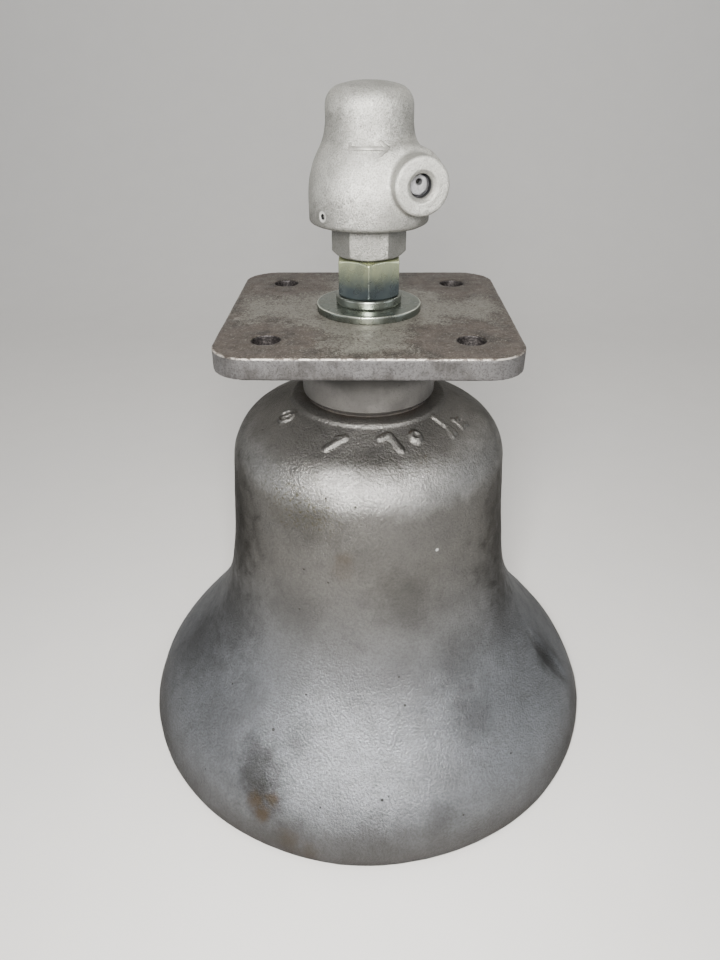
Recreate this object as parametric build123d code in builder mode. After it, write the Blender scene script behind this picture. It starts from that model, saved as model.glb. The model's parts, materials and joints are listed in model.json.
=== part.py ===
"""Air-operated 12-inch yard and locomotive bell with its ringer head.

Frame: origin at the centre of the bell's mouth plane, +Z up the bell's axis, the inlet port
in the head to the front right (-Y, +X). Millimetres. The clapper hangs at rest and the piston
is up; air drives the piston and its rod down, and the rod tips the clapper towards +X.
"""

import os
from math import cos, radians, sin

from build123d import *

# ---- driving dimensions: bell ----
RIM_OUTER_R = 150.2        # flat rim the bell stands on
RIM_INNER_R = 140.5
LIP_BULGE = (152.3, 5.5)
LIP_TOP = (149.4, 15.0)    # radius, height where the lip meets the flare
FLARE = [(125.4, 50.0), (106.2, 75.0), (93.6, 100.0)]
WAIST = (86.8, 132.0)
SHOULDER_FOOT = (81.8, 194.0)
SHOULDER_R = 30.0
CROWN_SLOPE = 29.5         # degrees from level
WAIST_LEAN = 4.6           # degrees from upright
WALL = 12.0
BOSS_TOP = 230.0           # spot-faced boss on the crown
BOSS_R = 43.0
BOSS_FOOT = (46.0, 228.6)
CROWN_INSIDE = 218.0
CROWN_INSIDE_R = 40.0
INSIDE = [(131.2, 23.5), (115.6, 43.0), (96.0, 68.6), (82.6, 95.5), (74.8, 128.0)]
INSIDE_DROP = 2.0          # the inside starts to turn this far below the outside
LIP_TANGENT, INSIDE_TANGENT = (-0.34, 1), (-0.22, 1)

# ---- driving dimensions: suspension stack, upwards from the crown ----
STEM_R = 11.1              # 7/8 in stud
STEM_HOLE_R = 11.5
STEM_BORE_R = 5.0
STEM_LOW, STEM_HIGH = 190.0, 318.7
STEM_CHAMFER = 1.0
GASKET_R, GASKET_T = 36.0, 0.8
COLLAR_R, COLLAR_H, COLLAR_CHAMFER = 38.1, 37.5, 2.6
PLATE_SIDE, PLATE_T, PLATE_CORNER_R = 152.4, 11.1, 19.0
PLATE_EDGE = 0.6
PLATE_HOLE_R, PLATE_HOLE_SPACING = 7.15, 101.6
WASHER_R, WASHER_T, WASHER_EDGE = 28.6, 4.0, 0.5
SPRING_WASHER_R, SPRING_WASHER_T = 17.8, 4.8
SPRING_WASHER_GAP, SPRING_WASHER_SLANT = 1.6, 25.0
NUT_AF, NUT_H = 32.0, 20.1
HEX_FACE_STEP, HEX_FACE_SLOPE = 0.3, 0.55    # chamfer of every hexagon's two faces
INNER_WASHER_R = 22.0
JAM_NUT_AF, JAM_NUT_LOW, JAM_NUT_HIGH = 32.0, 203.0, 214.0

# ---- driving dimensions: ringer head ----
CAP_AF, CAP_LOW, CAP_HIGH = 34.0, 309.0, 325.5
CAP_CHAMFER_OUT, CAP_CHAMFER_UP = 3.3, 1.8
CAP_SOCKET_TOP, CAP_WEB_TOP = 319.0, 322.0
SPIGOT_R, SPIGOT_HIGH, SPIGOT_BORE_R = 16.0, 333.5, 12.05
HEAD_R, HEAD_FOOT_FILLET = 31.0, 2.2
HEAD_CURVE_LOW = 339.0     # where the barrel starts to draw in
HEAD_CURVE_TURN = 30.0     # degrees
HEAD_CURVE_R1, HEAD_CURVE_R2 = 42.0, 28.0
HEAD_TOP, HEAD_TOP_R = 390.0, 9.5
HEAD_DOME = 14.0           # degrees the top falls away at the edge of its dome
CAVITY_LOW, CAVITY_R, CAVITY_STRAIGHT_Z = 329.5, 24.5, 348.0
NECK_CAVITY_R, NECK_CAVITY_Z, CAVITY_TOP = 17.0, 370.0, 384.0
CAVITY_CORNER_R, CAVITY_CORNER_Z = 11.0, 380.0
INLET_TURN = 14.0          # degrees the port looks to the right of straight ahead
INLET_Z, INLET_OFFSET, INLET_FACE = 347.1, 16.3, 38.0
INLET_BOSS_R, INLET_BORE_R, INLET_MOUTH_R = 13.5, 5.55, 7.4
INLET_EDGE = 1.3
INLET_ROOT_R, INLET_ROOT_FACE, INLET_ROOT_EDGE, INLET_ROOT_TAPER = 17.0, 25.5, 2.5, 12.0
INLET_DEPTH = 7.5
PASSAGE_R, PASSAGE_AT, PASSAGE_LENGTH = 1.5, (0.5, 1.2), 14.0
VENT_R, VENT_Z, VENT_TURN, VENT_START, VENT_LENGTH = 0.7, 331.6, -48.0, 33.0, 12.0

# ---- driving dimensions: piston, rod and clapper ----
LINER_R, LINER_BORE_R, LINER_HIGH = 16.0, 13.05, 360.0
PISTON_R, PISTON_LOW, PISTON_H, PISTON_CHAMFER = 13.0, 344.0, 12.0, 0.6
SEAL_LOW, SEAL_T, SEAL_INNER_R, SEAL_GAP = 348.5, 2.6, 11.3, 0.1
ROD_R, ROD_END_R, ROD_TOP = 4.0, 3.0, 362.0
ROD_NUT_AF, ROD_NUT_H, ROD_NUT_TURN = 10.0, 5.0, 15.0
BUTTON_R, BUTTON_H, BUTTON_CHAMFER = 5.5, 4.0, 0.8
BUSH_R, BUSH_BORE_R, BUSH_HIGH = 6.5, 4.05, 204.0
SPRING_R, SPRING_WIRE_R, SPRING_TURNS = 8.6, 0.9, 5
PIVOT_X, PIVOT_Z = 22.0, 178.0
PIN_R, PIN_BUSH_R, PIN_GAP = 4.0, 6.0, 0.05
BRACKET_HALF_W, SLOT_HALF_W, SLOT_TOP = 14.0, 8.0, 189.0
BRACKET_BASE_R, BRACKET_EYE_R, BRACKET_REACH = 18.0, 11.5, 40.0
PIN_HALF_W = 18.0
CLIP_R, CLIP_HALF_T, CLIP_OFF, CLIP_SLOT = 7.0, 0.6, 1.0, (4.0, 8.0)
HUB_R, HUB_HALF_W = 9.5, 7.6
NOSE_R, NOSE_GAP, NOSE_ARM_H, NOSE_ARM_UP = 5.0, 0.3, 7.5, 2.5
ARM_R, ARM_LOW = 6.0, 72.7
BALL_R, BALL_Z, BALL_FLAT_Z = 20.0, 42.7, 60.7
ARM_THREAD_R, ARM_THREAD_LOW, BALL_HOLE_LOW = 5.0, 36.7, 35.7
BALL_NUT_AF, BALL_NUT_H = 17.0, 7.0

CAP_GASKET_R, CAP_GASKET_SEAT_R = 19.3, 19.5

GAP = 0.02                 # clearance of a pressed or screwed fit
LOOSE = 0.3                # clearance of a passage

# ---- heights that follow ----
gasket_low = BOSS_TOP
collar_low = gasket_low + GASKET_T
plate_low = collar_low + COLLAR_H
plate_high = plate_low + PLATE_T
washer_high = plate_high + WASHER_T
nut_low = washer_high + SPRING_WASHER_T
nut_high = nut_low + NUT_H
piston_high = PISTON_LOW + PISTON_H
button_low = PIVOT_Z + NOSE_R + NOSE_GAP
button_high = button_low + BUTTON_H
dome = radians(HEAD_DOME)
neck_r = HEAD_R - (HEAD_CURVE_R1 + HEAD_CURVE_R2) * (1 - cos(radians(HEAD_CURVE_TURN)))
dome_r = (neck_r - HEAD_TOP_R * (1 - sin(dome))) / sin(dome)
neck_high = HEAD_TOP - dome_r * (1 - cos(dome)) - HEAD_TOP_R * cos(dome)


def tube(low, high, outer, bore=0.0):
    """A round, upright piece with a bore, between two heights."""
    with BuildPart() as piece:
        with BuildSketch(Plane.XY.offset(low)):
            Circle(outer)
            if bore:
                Circle(bore, mode=Mode.SUBTRACT)
        extrude(amount=high - low)
    return piece


def hexagon(low, high, flats, bore, turn):
    """A hexagon piece with a bore and turned-off corners at both ends."""
    face = flats / 2 - HEX_FACE_STEP
    reach = flats / 2 / cos(radians(30)) + HEX_FACE_STEP
    drop = (reach - face) * HEX_FACE_SLOPE
    with BuildPart() as piece:
        with BuildSketch(Plane.XY.offset(low)):
            RegularPolygon(flats / 2, 6, major_radius=False, rotation=turn)
            Circle(bore, mode=Mode.SUBTRACT)
        extrude(amount=high - low)
        with BuildSketch(Plane.XZ):
            with BuildLine():
                Polyline((0, low), (face, low), (reach, low + drop), (reach, high - drop),
                         (face, high), (0, high), close=True)
            make_face()
        revolve(axis=Axis.Z, mode=Mode.INTERSECT)
    return piece


# ---- bell ----
lean = radians(WAIST_LEAN)
with BuildPart() as bell:
    with BuildSketch(Plane.XZ):
        with BuildLine():
            ThreePointArc((RIM_OUTER_R, 0), LIP_BULGE, LIP_TOP)
            Spline(LIP_TOP, *FLARE, WAIST, SHOULDER_FOOT,
                   tangents=[LIP_TANGENT, (-sin(lean), cos(lean))])
            shoulder = JernArc(start=SHOULDER_FOOT, tangent=(-sin(lean), cos(lean)),
                               radius=SHOULDER_R, arc_size=90 - WAIST_LEAN - CROWN_SLOPE)
            Polyline(shoulder @ 1, BOSS_FOOT, (BOSS_R, BOSS_TOP), (0, BOSS_TOP),
                     (0, 0), (RIM_OUTER_R, 0))
        make_face()
    revolve(axis=Axis.Z)
    with BuildSketch(Plane.XZ):
        with BuildLine():
            inner_foot = (SHOULDER_FOOT[0] - WALL, SHOULDER_FOOT[1] - INSIDE_DROP)
            Spline((RIM_INNER_R, 0), *INSIDE, inner_foot,
                   tangents=[INSIDE_TANGENT, (-sin(lean), cos(lean))])
            corner = JernArc(start=inner_foot, tangent=(-sin(lean), cos(lean)),
                             radius=SHOULDER_R - WALL, arc_size=90 - WAIST_LEAN - CROWN_SLOPE)
            Polyline(corner @ 1, (CROWN_INSIDE_R, CROWN_INSIDE), (0, CROWN_INSIDE), (0, 0),
                     (RIM_INNER_R, 0))
        make_face()
    revolve(axis=Axis.Z, mode=Mode.SUBTRACT)
    with Locations((0, 0, BOSS_TOP)):
        Hole(STEM_HOLE_R, depth=BOSS_TOP - CROWN_INSIDE)

# ---- suspension stack ----
gasket = tube(gasket_low, collar_low, GASKET_R, STEM_HOLE_R)

with BuildPart() as collar:
    with BuildSketch(Plane.XY.offset(collar_low)):
        Circle(COLLAR_R)
        Circle(STEM_HOLE_R, mode=Mode.SUBTRACT)
    extrude(amount=COLLAR_H)
    chamfer(collar.edges().group_by(Axis.Z)[0].sort_by(SortBy.RADIUS)[-1], COLLAR_CHAMFER)

with BuildPart() as plate:
    with BuildSketch(Plane.XY.offset(plate_low)):
        RectangleRounded(PLATE_SIDE, PLATE_SIDE, PLATE_CORNER_R)
        Circle(STEM_HOLE_R, mode=Mode.SUBTRACT)
        with GridLocations(PLATE_HOLE_SPACING, PLATE_HOLE_SPACING, 2, 2):
            Circle(PLATE_HOLE_R, mode=Mode.SUBTRACT)
    extrude(amount=PLATE_T)
    chamfer(plate.faces().sort_by(Axis.Z)[-1].outer_wire().edges(), PLATE_EDGE)
    chamfer(plate.faces().sort_by(Axis.Z)[0].outer_wire().edges(), PLATE_EDGE)

with BuildPart() as flat_washer:
    with BuildSketch(Plane.XY.offset(plate_high)):
        Circle(WASHER_R)
        Circle(STEM_HOLE_R, mode=Mode.SUBTRACT)
    extrude(amount=WASHER_T)
    chamfer(flat_washer.edges().group_by(Axis.Z)[-1].sort_by(SortBy.RADIUS)[-1], WASHER_EDGE)

with BuildPart() as lock_washer:
    with BuildSketch(Plane.XY.offset(washer_high)):
        Circle(SPRING_WASHER_R)
        Circle(STEM_HOLE_R, mode=Mode.SUBTRACT)
    extrude(amount=SPRING_WASHER_T)
    with BuildSketch(Plane.XZ.offset(-STEM_HOLE_R)):
        with Locations((0, washer_high + SPRING_WASHER_T / 2)):
            Rectangle(SPRING_WASHER_GAP, 2 * SPRING_WASHER_T, rotation=SPRING_WASHER_SLANT)
    extrude(amount=-SPRING_WASHER_R, mode=Mode.SUBTRACT)

stem_nut = hexagon(nut_low, nut_high, NUT_AF, STEM_R + GAP, 30)
inner_washer = tube(JAM_NUT_HIGH, CROWN_INSIDE, INNER_WASHER_R, STEM_HOLE_R)
jam_nut = hexagon(JAM_NUT_LOW, JAM_NUT_HIGH, JAM_NUT_AF, STEM_R + GAP, 0)

with BuildPart() as stem:
    with BuildSketch(Plane.XY.offset(STEM_LOW)):
        Circle(STEM_R)
        Circle(STEM_BORE_R, mode=Mode.SUBTRACT)
    extrude(amount=STEM_HIGH - STEM_LOW)
    with BuildSketch(Plane.XY.offset(STEM_LOW)):
        Circle(BUSH_R + GAP)
    extrude(amount=BUSH_HIGH - STEM_LOW, mode=Mode.SUBTRACT)
    chamfer(stem.edges().filter_by(GeomType.CIRCLE).group_by(SortBy.RADIUS)[-1], STEM_CHAMFER)

rod_bush = tube(STEM_LOW, BUSH_HIGH, BUSH_R, BUSH_BORE_R)

# ---- ringer head ----
with BuildPart() as hex_cap:
    with BuildSketch(Plane.XY.offset(CAP_LOW)):
        RegularPolygon(CAP_AF / 2, 6, major_radius=False)
    extrude(amount=CAP_HIGH - CAP_LOW)
    with BuildSketch(Plane.XZ):
        with BuildLine():
            cap_face = CAP_AF / 2 - HEX_FACE_STEP
            Polyline((0, CAP_LOW), (cap_face, CAP_LOW),
                     (cap_face + CAP_CHAMFER_OUT, CAP_LOW + CAP_CHAMFER_UP),
                     (cap_face + CAP_CHAMFER_OUT, CAP_HIGH), (0, CAP_HIGH), close=True)
        make_face()
    revolve(axis=Axis.Z, mode=Mode.INTERSECT)
    with BuildSketch(Plane.XY.offset(CAP_HIGH)):
        Circle(SPIGOT_R - GAP)
    extrude(amount=SPIGOT_HIGH - CAP_HIGH)
    with BuildSketch(Plane.XY.offset(CAP_LOW)):
        Circle(STEM_R + GAP)
    extrude(amount=CAP_SOCKET_TOP - CAP_LOW, mode=Mode.SUBTRACT)
    with BuildSketch(Plane.XY.offset(CAP_SOCKET_TOP)):
        Circle(ROD_R + LOOSE)
    extrude(amount=CAP_WEB_TOP - CAP_SOCKET_TOP, mode=Mode.SUBTRACT)
    with BuildSketch(Plane.XY.offset(CAP_WEB_TOP)):
        Circle(SPIGOT_BORE_R)
    extrude(amount=SPIGOT_HIGH - CAP_WEB_TOP, mode=Mode.SUBTRACT)

cap_gasket = tube(CAP_HIGH, CAP_HIGH + GASKET_T, CAP_GASKET_R, SPIGOT_R + LOOSE)
cylinder_liner = tube(SPIGOT_HIGH, LINER_HIGH, LINER_R, LINER_BORE_R)

turn = radians(INLET_TURN)
inlet_way = Vector(sin(turn), -cos(turn), 0)
inlet_side = Vector(cos(turn), sin(turn), 0)
inlet_face = Plane(
    origin=inlet_side * INLET_OFFSET + inlet_way * INLET_FACE + Vector(0, 0, INLET_Z),
    x_dir=inlet_side, z_dir=inlet_way,
)
inlet_root = inlet_face.offset(INLET_ROOT_FACE - INLET_FACE)
vent_turn = radians(VENT_TURN)
vent_way = Vector(sin(vent_turn), -cos(vent_turn), 0)
vent_face = Plane(origin=vent_way * VENT_START + Vector(0, 0, VENT_Z), z_dir=vent_way)

with BuildPart() as housing:
    with BuildSketch(Plane.XZ):
        with BuildLine():
            barrel = Line((HEAD_R, CAP_HIGH), (HEAD_R, HEAD_CURVE_LOW))
            draw_in = JernArc(start=barrel @ 1, tangent=(0, 1), radius=HEAD_CURVE_R1,
                              arc_size=HEAD_CURVE_TURN)
            draw_up = JernArc(start=draw_in @ 1, tangent=draw_in % 1, radius=HEAD_CURVE_R2,
                              arc_size=-HEAD_CURVE_TURN)
            neck = Line(draw_up @ 1, (neck_r, neck_high))
            crown = JernArc(start=neck @ 1, tangent=(0, 1), radius=HEAD_TOP_R,
                            arc_size=90 - HEAD_DOME)
            top = ThreePointArc(
                crown @ 1,
                (dome_r * sin(dome / 2), HEAD_TOP - dome_r * (1 - cos(dome / 2))),
                (0, HEAD_TOP),
            )
            Polyline(top @ 1, (0, CAP_HIGH), (HEAD_R, CAP_HIGH))
        make_face()
    revolve(axis=Axis.Z)
    fillet(housing.edges().group_by(Axis.Z)[0], HEAD_FOOT_FILLET)
    with BuildSketch(inlet_root):
        Circle(INLET_ROOT_R - INLET_ROOT_EDGE)
    extrude(amount=-INLET_ROOT_EDGE, taper=-45)
    with BuildSketch(inlet_root.offset(-INLET_ROOT_EDGE)):
        Circle(INLET_ROOT_R)
    extrude(amount=INLET_ROOT_EDGE - INLET_ROOT_FACE, taper=INLET_ROOT_TAPER)
    with BuildSketch(inlet_face):
        Circle(INLET_BOSS_R)
    extrude(amount=-INLET_FACE)
    boss_face = housing.faces().sort_by(Axis((0, 0, 0), inlet_way))[-1]
    fillet(boss_face.outer_wire().edges(), INLET_EDGE)
    with BuildSketch(Plane.XZ):
        with BuildLine():
            Polyline(
                (0, CAVITY_LOW), (CAVITY_R, CAVITY_LOW), (CAVITY_R, CAVITY_STRAIGHT_Z),
                (NECK_CAVITY_R, NECK_CAVITY_Z), (NECK_CAVITY_R, CAVITY_CORNER_Z),
                (CAVITY_CORNER_R, CAVITY_TOP), (0, CAVITY_TOP), close=True,
            )
        make_face()
    revolve(axis=Axis.Z, mode=Mode.SUBTRACT)
    with BuildSketch(Plane.XY.offset(CAP_HIGH)):
        Circle(SPIGOT_R)
    extrude(amount=CAVITY_LOW - CAP_HIGH, mode=Mode.SUBTRACT)
    with BuildSketch(Plane.XY.offset(CAP_HIGH)):
        Circle(CAP_GASKET_SEAT_R)
    extrude(amount=GASKET_T, mode=Mode.SUBTRACT)
    with BuildSketch(inlet_face):
        Circle(INLET_BORE_R)
    extrude(amount=-INLET_DEPTH, mode=Mode.SUBTRACT)
    with BuildSketch(inlet_face):
        Circle(INLET_MOUTH_R)
    extrude(amount=INLET_BORE_R - INLET_MOUTH_R, taper=45, mode=Mode.SUBTRACT)
    with BuildSketch(inlet_face.offset(-INLET_DEPTH)):
        with Locations(PASSAGE_AT):
            Circle(PASSAGE_R)
    extrude(amount=-PASSAGE_LENGTH, mode=Mode.SUBTRACT)
    with BuildSketch(vent_face):
        Circle(VENT_R)
    extrude(amount=-VENT_LENGTH, mode=Mode.SUBTRACT)

# ---- piston, rod and return spring ----
with BuildPart() as piston:
    with BuildSketch(Plane.XY.offset(PISTON_LOW)):
        Circle(PISTON_R)
        Circle(ROD_END_R + GAP, mode=Mode.SUBTRACT)
    extrude(amount=PISTON_H)
    chamfer(piston.edges().filter_by(GeomType.CIRCLE).group_by(SortBy.RADIUS)[-1], PISTON_CHAMFER)
    with BuildSketch(Plane.XY.offset(SEAL_LOW - SEAL_GAP)):
        Circle(PISTON_R + SEAL_GAP)
        Circle(SEAL_INNER_R - SEAL_GAP, mode=Mode.SUBTRACT)
    extrude(amount=SEAL_T + 2 * SEAL_GAP, mode=Mode.SUBTRACT)

piston_seal = tube(SEAL_LOW, SEAL_LOW + SEAL_T, PISTON_R, SEAL_INNER_R)

with BuildPart() as push_rod:
    with BuildSketch(Plane.XY.offset(button_low)):
        Circle(BUTTON_R)
    extrude(amount=BUTTON_H)
    chamfer(push_rod.edges().group_by(Axis.Z)[0], BUTTON_CHAMFER)
    with BuildSketch(Plane.XY.offset(button_high)):
        Circle(ROD_R)
    extrude(amount=PISTON_LOW - button_high)
    with BuildSketch(Plane.XY.offset(PISTON_LOW)):
        Circle(ROD_END_R)
    extrude(amount=ROD_TOP - PISTON_LOW)

rod_nut = hexagon(piston_high, piston_high + ROD_NUT_H, ROD_NUT_AF, ROD_END_R + GAP, ROD_NUT_TURN)

spring_low = CAP_WEB_TOP + SPRING_WIRE_R
spring_height = PISTON_LOW - CAP_WEB_TOP - 2 * SPRING_WIRE_R
with BuildPart() as return_spring:
    with BuildLine() as coil:
        Helix(pitch=spring_height / SPRING_TURNS, height=spring_height, radius=SPRING_R,
              center=(0, 0, spring_low))
    with BuildSketch(Plane(origin=coil.line @ 0, z_dir=coil.line % 0)):
        Circle(SPRING_WIRE_R)
    sweep()

# ---- clapper bracket and pivot ----
cheek = Plane.XZ.offset(-BRACKET_HALF_W)
with BuildPart() as clapper_bracket:
    with BuildSketch(cheek):
        with Locations((PIVOT_X, PIVOT_Z)):
            Circle(BRACKET_EYE_R)
        with Locations((0, (SLOT_TOP + JAM_NUT_LOW) / 2)):
            Rectangle(2 * BRACKET_BASE_R, JAM_NUT_LOW - SLOT_TOP)
        make_hull()
    extrude(amount=2 * BRACKET_HALF_W)
    with BuildSketch(Plane.XY.offset(SLOT_TOP)):
        Circle(BRACKET_BASE_R)
    extrude(amount=JAM_NUT_LOW - SLOT_TOP)
    with BuildSketch(Plane.XY.offset(SLOT_TOP)):
        Rectangle(2 * BRACKET_REACH, 2 * SLOT_HALF_W)
    extrude(amount=-BRACKET_REACH, mode=Mode.SUBTRACT)
    with BuildSketch(Plane.XY.offset(SLOT_TOP)):
        Circle(STEM_R + GAP)
    extrude(amount=JAM_NUT_LOW - SLOT_TOP, mode=Mode.SUBTRACT)
    with BuildSketch(cheek):
        with Locations((PIVOT_X, PIVOT_Z)):
            Circle(PIN_R + GAP)
    extrude(amount=2 * BRACKET_HALF_W, mode=Mode.SUBTRACT)

with BuildPart() as pivot_pin:
    with BuildSketch(Plane.XZ.offset(-PIN_HALF_W)):
        with Locations((PIVOT_X, PIVOT_Z)):
            Circle(PIN_R)
    extrude(amount=2 * PIN_HALF_W)

with BuildPart() as pin_clips:
    for side in (-1, 1):
        with BuildSketch(Plane.XZ.offset(side * (BRACKET_HALF_W + CLIP_OFF))):
            with Locations((PIVOT_X, PIVOT_Z)):
                Circle(CLIP_R)
                Circle(PIN_R + GAP, mode=Mode.SUBTRACT)
            with Locations((PIVOT_X, PIVOT_Z - PIN_R)):
                Rectangle(*CLIP_SLOT, mode=Mode.SUBTRACT)
        extrude(amount=CLIP_HALF_T, both=True)

# ---- clapper ----
with BuildPart() as pivot_bush:
    with BuildSketch(Plane.XZ.offset(-HUB_HALF_W)):
        with Locations((PIVOT_X, PIVOT_Z)):
            Circle(PIN_BUSH_R)
            Circle(PIN_R + PIN_GAP, mode=Mode.SUBTRACT)
    extrude(amount=2 * HUB_HALF_W)

with BuildPart() as clapper_arm:
    with BuildSketch(Plane.XZ.offset(-HUB_HALF_W)):
        with Locations((PIVOT_X, PIVOT_Z)):
            Circle(HUB_R)
        with Locations((0, PIVOT_Z)):
            Circle(NOSE_R)
        with Locations((PIVOT_X / 2, PIVOT_Z + NOSE_ARM_UP)):
            Rectangle(PIVOT_X, NOSE_ARM_H, align=(Align.CENTER, Align.MAX))
    extrude(amount=2 * HUB_HALF_W)
    with BuildSketch(Plane.XY.offset(PIVOT_Z)):
        with Locations((PIVOT_X, 0)):
            Circle(ARM_R)
    extrude(amount=ARM_LOW - PIVOT_Z)
    with BuildSketch(Plane.XY.offset(ARM_LOW)):
        with Locations((PIVOT_X, 0)):
            Circle(ARM_THREAD_R)
    extrude(amount=ARM_THREAD_LOW - ARM_LOW)
    with BuildSketch(Plane.XZ.offset(-HUB_HALF_W)):
        with Locations((PIVOT_X, PIVOT_Z)):
            Circle(PIN_BUSH_R + GAP)
    extrude(amount=2 * HUB_HALF_W, mode=Mode.SUBTRACT)

with BuildPart() as clapper_ball:
    with Locations((PIVOT_X, 0, BALL_Z)):
        Sphere(BALL_R)
    with BuildSketch(Plane.XY.offset(BALL_FLAT_Z)):
        with Locations((PIVOT_X, 0)):
            Circle(BALL_R)
    extrude(amount=BALL_R, mode=Mode.SUBTRACT)
    with BuildSketch(Plane.XY.offset(BALL_FLAT_Z)):
        with Locations((PIVOT_X, 0)):
            Circle(ARM_THREAD_R + GAP)
    extrude(amount=BALL_HOLE_LOW - BALL_FLAT_Z, mode=Mode.SUBTRACT)

ball_nut = hexagon(BALL_FLAT_Z, BALL_FLAT_Z + BALL_NUT_H, BALL_NUT_AF, ARM_THREAD_R + GAP, 0)
ball_nut.part.position = (PIVOT_X, 0, 0)

# ---- write one file per piece ----
pieces = {
    "bell": bell,
    "collar_gasket": gasket,
    "collar": collar,
    "mounting_plate": plate,
    "flat_washer": flat_washer,
    "lock_washer": lock_washer,
    "stem_nut": stem_nut,
    "stem": stem,
    "inner_washer": inner_washer,
    "jam_nut": jam_nut,
    "rod_bush": rod_bush,
    "hex_cap": hex_cap,
    "cap_gasket": cap_gasket,
    "cylinder_liner": cylinder_liner,
    "housing": housing,
    "piston": piston,
    "piston_seal": piston_seal,
    "push_rod": push_rod,
    "rod_nut": rod_nut,
    "return_spring": return_spring,
    "clapper_bracket": clapper_bracket,
    "pivot_pin": pivot_pin,
    "pin_clips": pin_clips,
    "pivot_bush": pivot_bush,
    "clapper_arm": clapper_arm,
    "clapper_ball": clapper_ball,
    "ball_nut": ball_nut,
}
os.makedirs("parts", exist_ok=True)
for name, piece in pieces.items():
    piece.part.label = name
    export_step(piece.part, f"parts/{name}.step")
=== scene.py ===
"""Looks of the air-operated bell: silver-painted casting, mounting plate and ringer head.

Shapes are worked out in millimetres and placed in the CAD frame in metres. Heights come from
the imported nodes, so each piece sits exactly where its CAD node is.
"""

import json
from math import acos, atan2, cos, degrees, pi, radians, sin, sqrt, tan

import bpy
import numpy as np
from mathutils import Matrix, Vector, noise


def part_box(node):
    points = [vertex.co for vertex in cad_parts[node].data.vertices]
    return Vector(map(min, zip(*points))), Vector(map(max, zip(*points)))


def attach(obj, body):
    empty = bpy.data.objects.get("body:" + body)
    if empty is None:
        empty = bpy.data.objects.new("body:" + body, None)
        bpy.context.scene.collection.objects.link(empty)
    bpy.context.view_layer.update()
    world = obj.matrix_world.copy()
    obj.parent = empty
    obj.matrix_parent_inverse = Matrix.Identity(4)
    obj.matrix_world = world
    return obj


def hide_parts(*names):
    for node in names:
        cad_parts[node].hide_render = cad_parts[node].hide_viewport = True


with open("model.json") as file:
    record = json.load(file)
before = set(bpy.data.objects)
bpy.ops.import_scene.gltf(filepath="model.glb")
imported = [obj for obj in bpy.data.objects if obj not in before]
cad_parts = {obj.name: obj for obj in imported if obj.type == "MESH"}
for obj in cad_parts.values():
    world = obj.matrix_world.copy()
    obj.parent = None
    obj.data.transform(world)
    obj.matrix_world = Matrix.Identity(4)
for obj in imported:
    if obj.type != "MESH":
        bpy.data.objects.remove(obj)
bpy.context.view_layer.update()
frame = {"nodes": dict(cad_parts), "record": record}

MM = 0.001


def heights(node):
    """Lowest and highest z of a CAD node, in millimetres."""
    low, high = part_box(node)
    return low.z / MM, high.z / MM


# ---- mesh tools ----
def add_mesh(name, points_mm, faces, material, node, body="hung_bell"):
    """A smooth-shaded piece that stands for a CAD node and rides on its body."""
    mesh = bpy.data.meshes.new(name)
    mesh.from_pydata((np.asarray(points_mm) * MM).tolist(), [], [list(f) for f in faces])
    mesh.validate()
    mesh.update()
    mesh.polygons.foreach_set("use_smooth", [True] * len(mesh.polygons))
    piece = bpy.data.objects.new(name, mesh)
    bpy.context.scene.collection.objects.link(piece)
    mesh.materials.append(material)
    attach(piece, body)
    if node:
        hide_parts(node)


def roughen(points, normals, layers):
    """Points moved along their normals by a sum of (size mm, height mm) noise layers."""
    offset = np.zeros(len(points))
    for i, (size, height) in enumerate(layers):
        shift = Vector((17.3 + 5 * i, 3.1 * i, 7.7))
        offset += height * np.array([noise.noise(Vector(p) / size + shift) for p in points])
    return points + normals * offset[:, None]


def arc(centre, radius, start, end, count):
    """Points of a round stretch, angles in degrees."""
    turn = np.radians(np.linspace(start, end, count))
    return [(centre[0] + radius * cos(t), centre[1] + radius * sin(t)) for t in turn]


def spline(points, start_slope, end_slope, step):
    """A clamped cubic spline through points, sampled about every step millimetres."""
    knots = np.array(points, float)
    gaps = np.linalg.norm(np.diff(knots, axis=0), axis=1)
    at = np.concatenate([[0], np.cumsum(gaps)])
    count = len(knots)
    system = np.zeros((count, count))
    right = np.zeros((count, 2))
    system[0, 0] = system[-1, -1] = 1
    right[0] = np.array(start_slope) / np.linalg.norm(start_slope)
    right[-1] = np.array(end_slope) / np.linalg.norm(end_slope)
    for i in range(1, count - 1):
        before, after = gaps[i - 1], gaps[i]
        system[i, i - 1:i + 2] = 1 / before, 2 / before + 2 / after, 1 / after
        right[i] = 3 * ((knots[i] - knots[i - 1]) / before ** 2
                        + (knots[i + 1] - knots[i]) / after ** 2)
    slopes = np.linalg.solve(system, right)
    out = []
    for s in np.linspace(0, at[-1], max(2, round(at[-1] / step))):
        i = min(int(np.searchsorted(at, s, side="right")) - 1, count - 2)
        t, gap = (s - at[i]) / gaps[i], gaps[i]
        out.append(tuple(
            (2 * t ** 3 - 3 * t ** 2 + 1) * knots[i] + (t ** 3 - 2 * t ** 2 + t) * gap * slopes[i]
            + (3 * t ** 2 - 2 * t ** 3) * knots[i + 1] + (t ** 3 - t ** 2) * gap * slopes[i + 1]
        ))
    return out


def line(start, end, step):
    """Points along a straight stretch."""
    length = sqrt((end[0] - start[0]) ** 2 + (end[1] - start[1]) ** 2)
    return [tuple(p) for p in np.linspace(start, end, max(2, round(length / step) + 1))]


def join(*stretches):
    """One outline from stretches that meet end to end."""
    out = []
    for stretch in stretches:
        for p in stretch:
            if not out or abs(p[0] - out[-1][0]) + abs(p[1] - out[-1][1]) > 1e-3:
                out.append(p)
    return out


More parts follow.
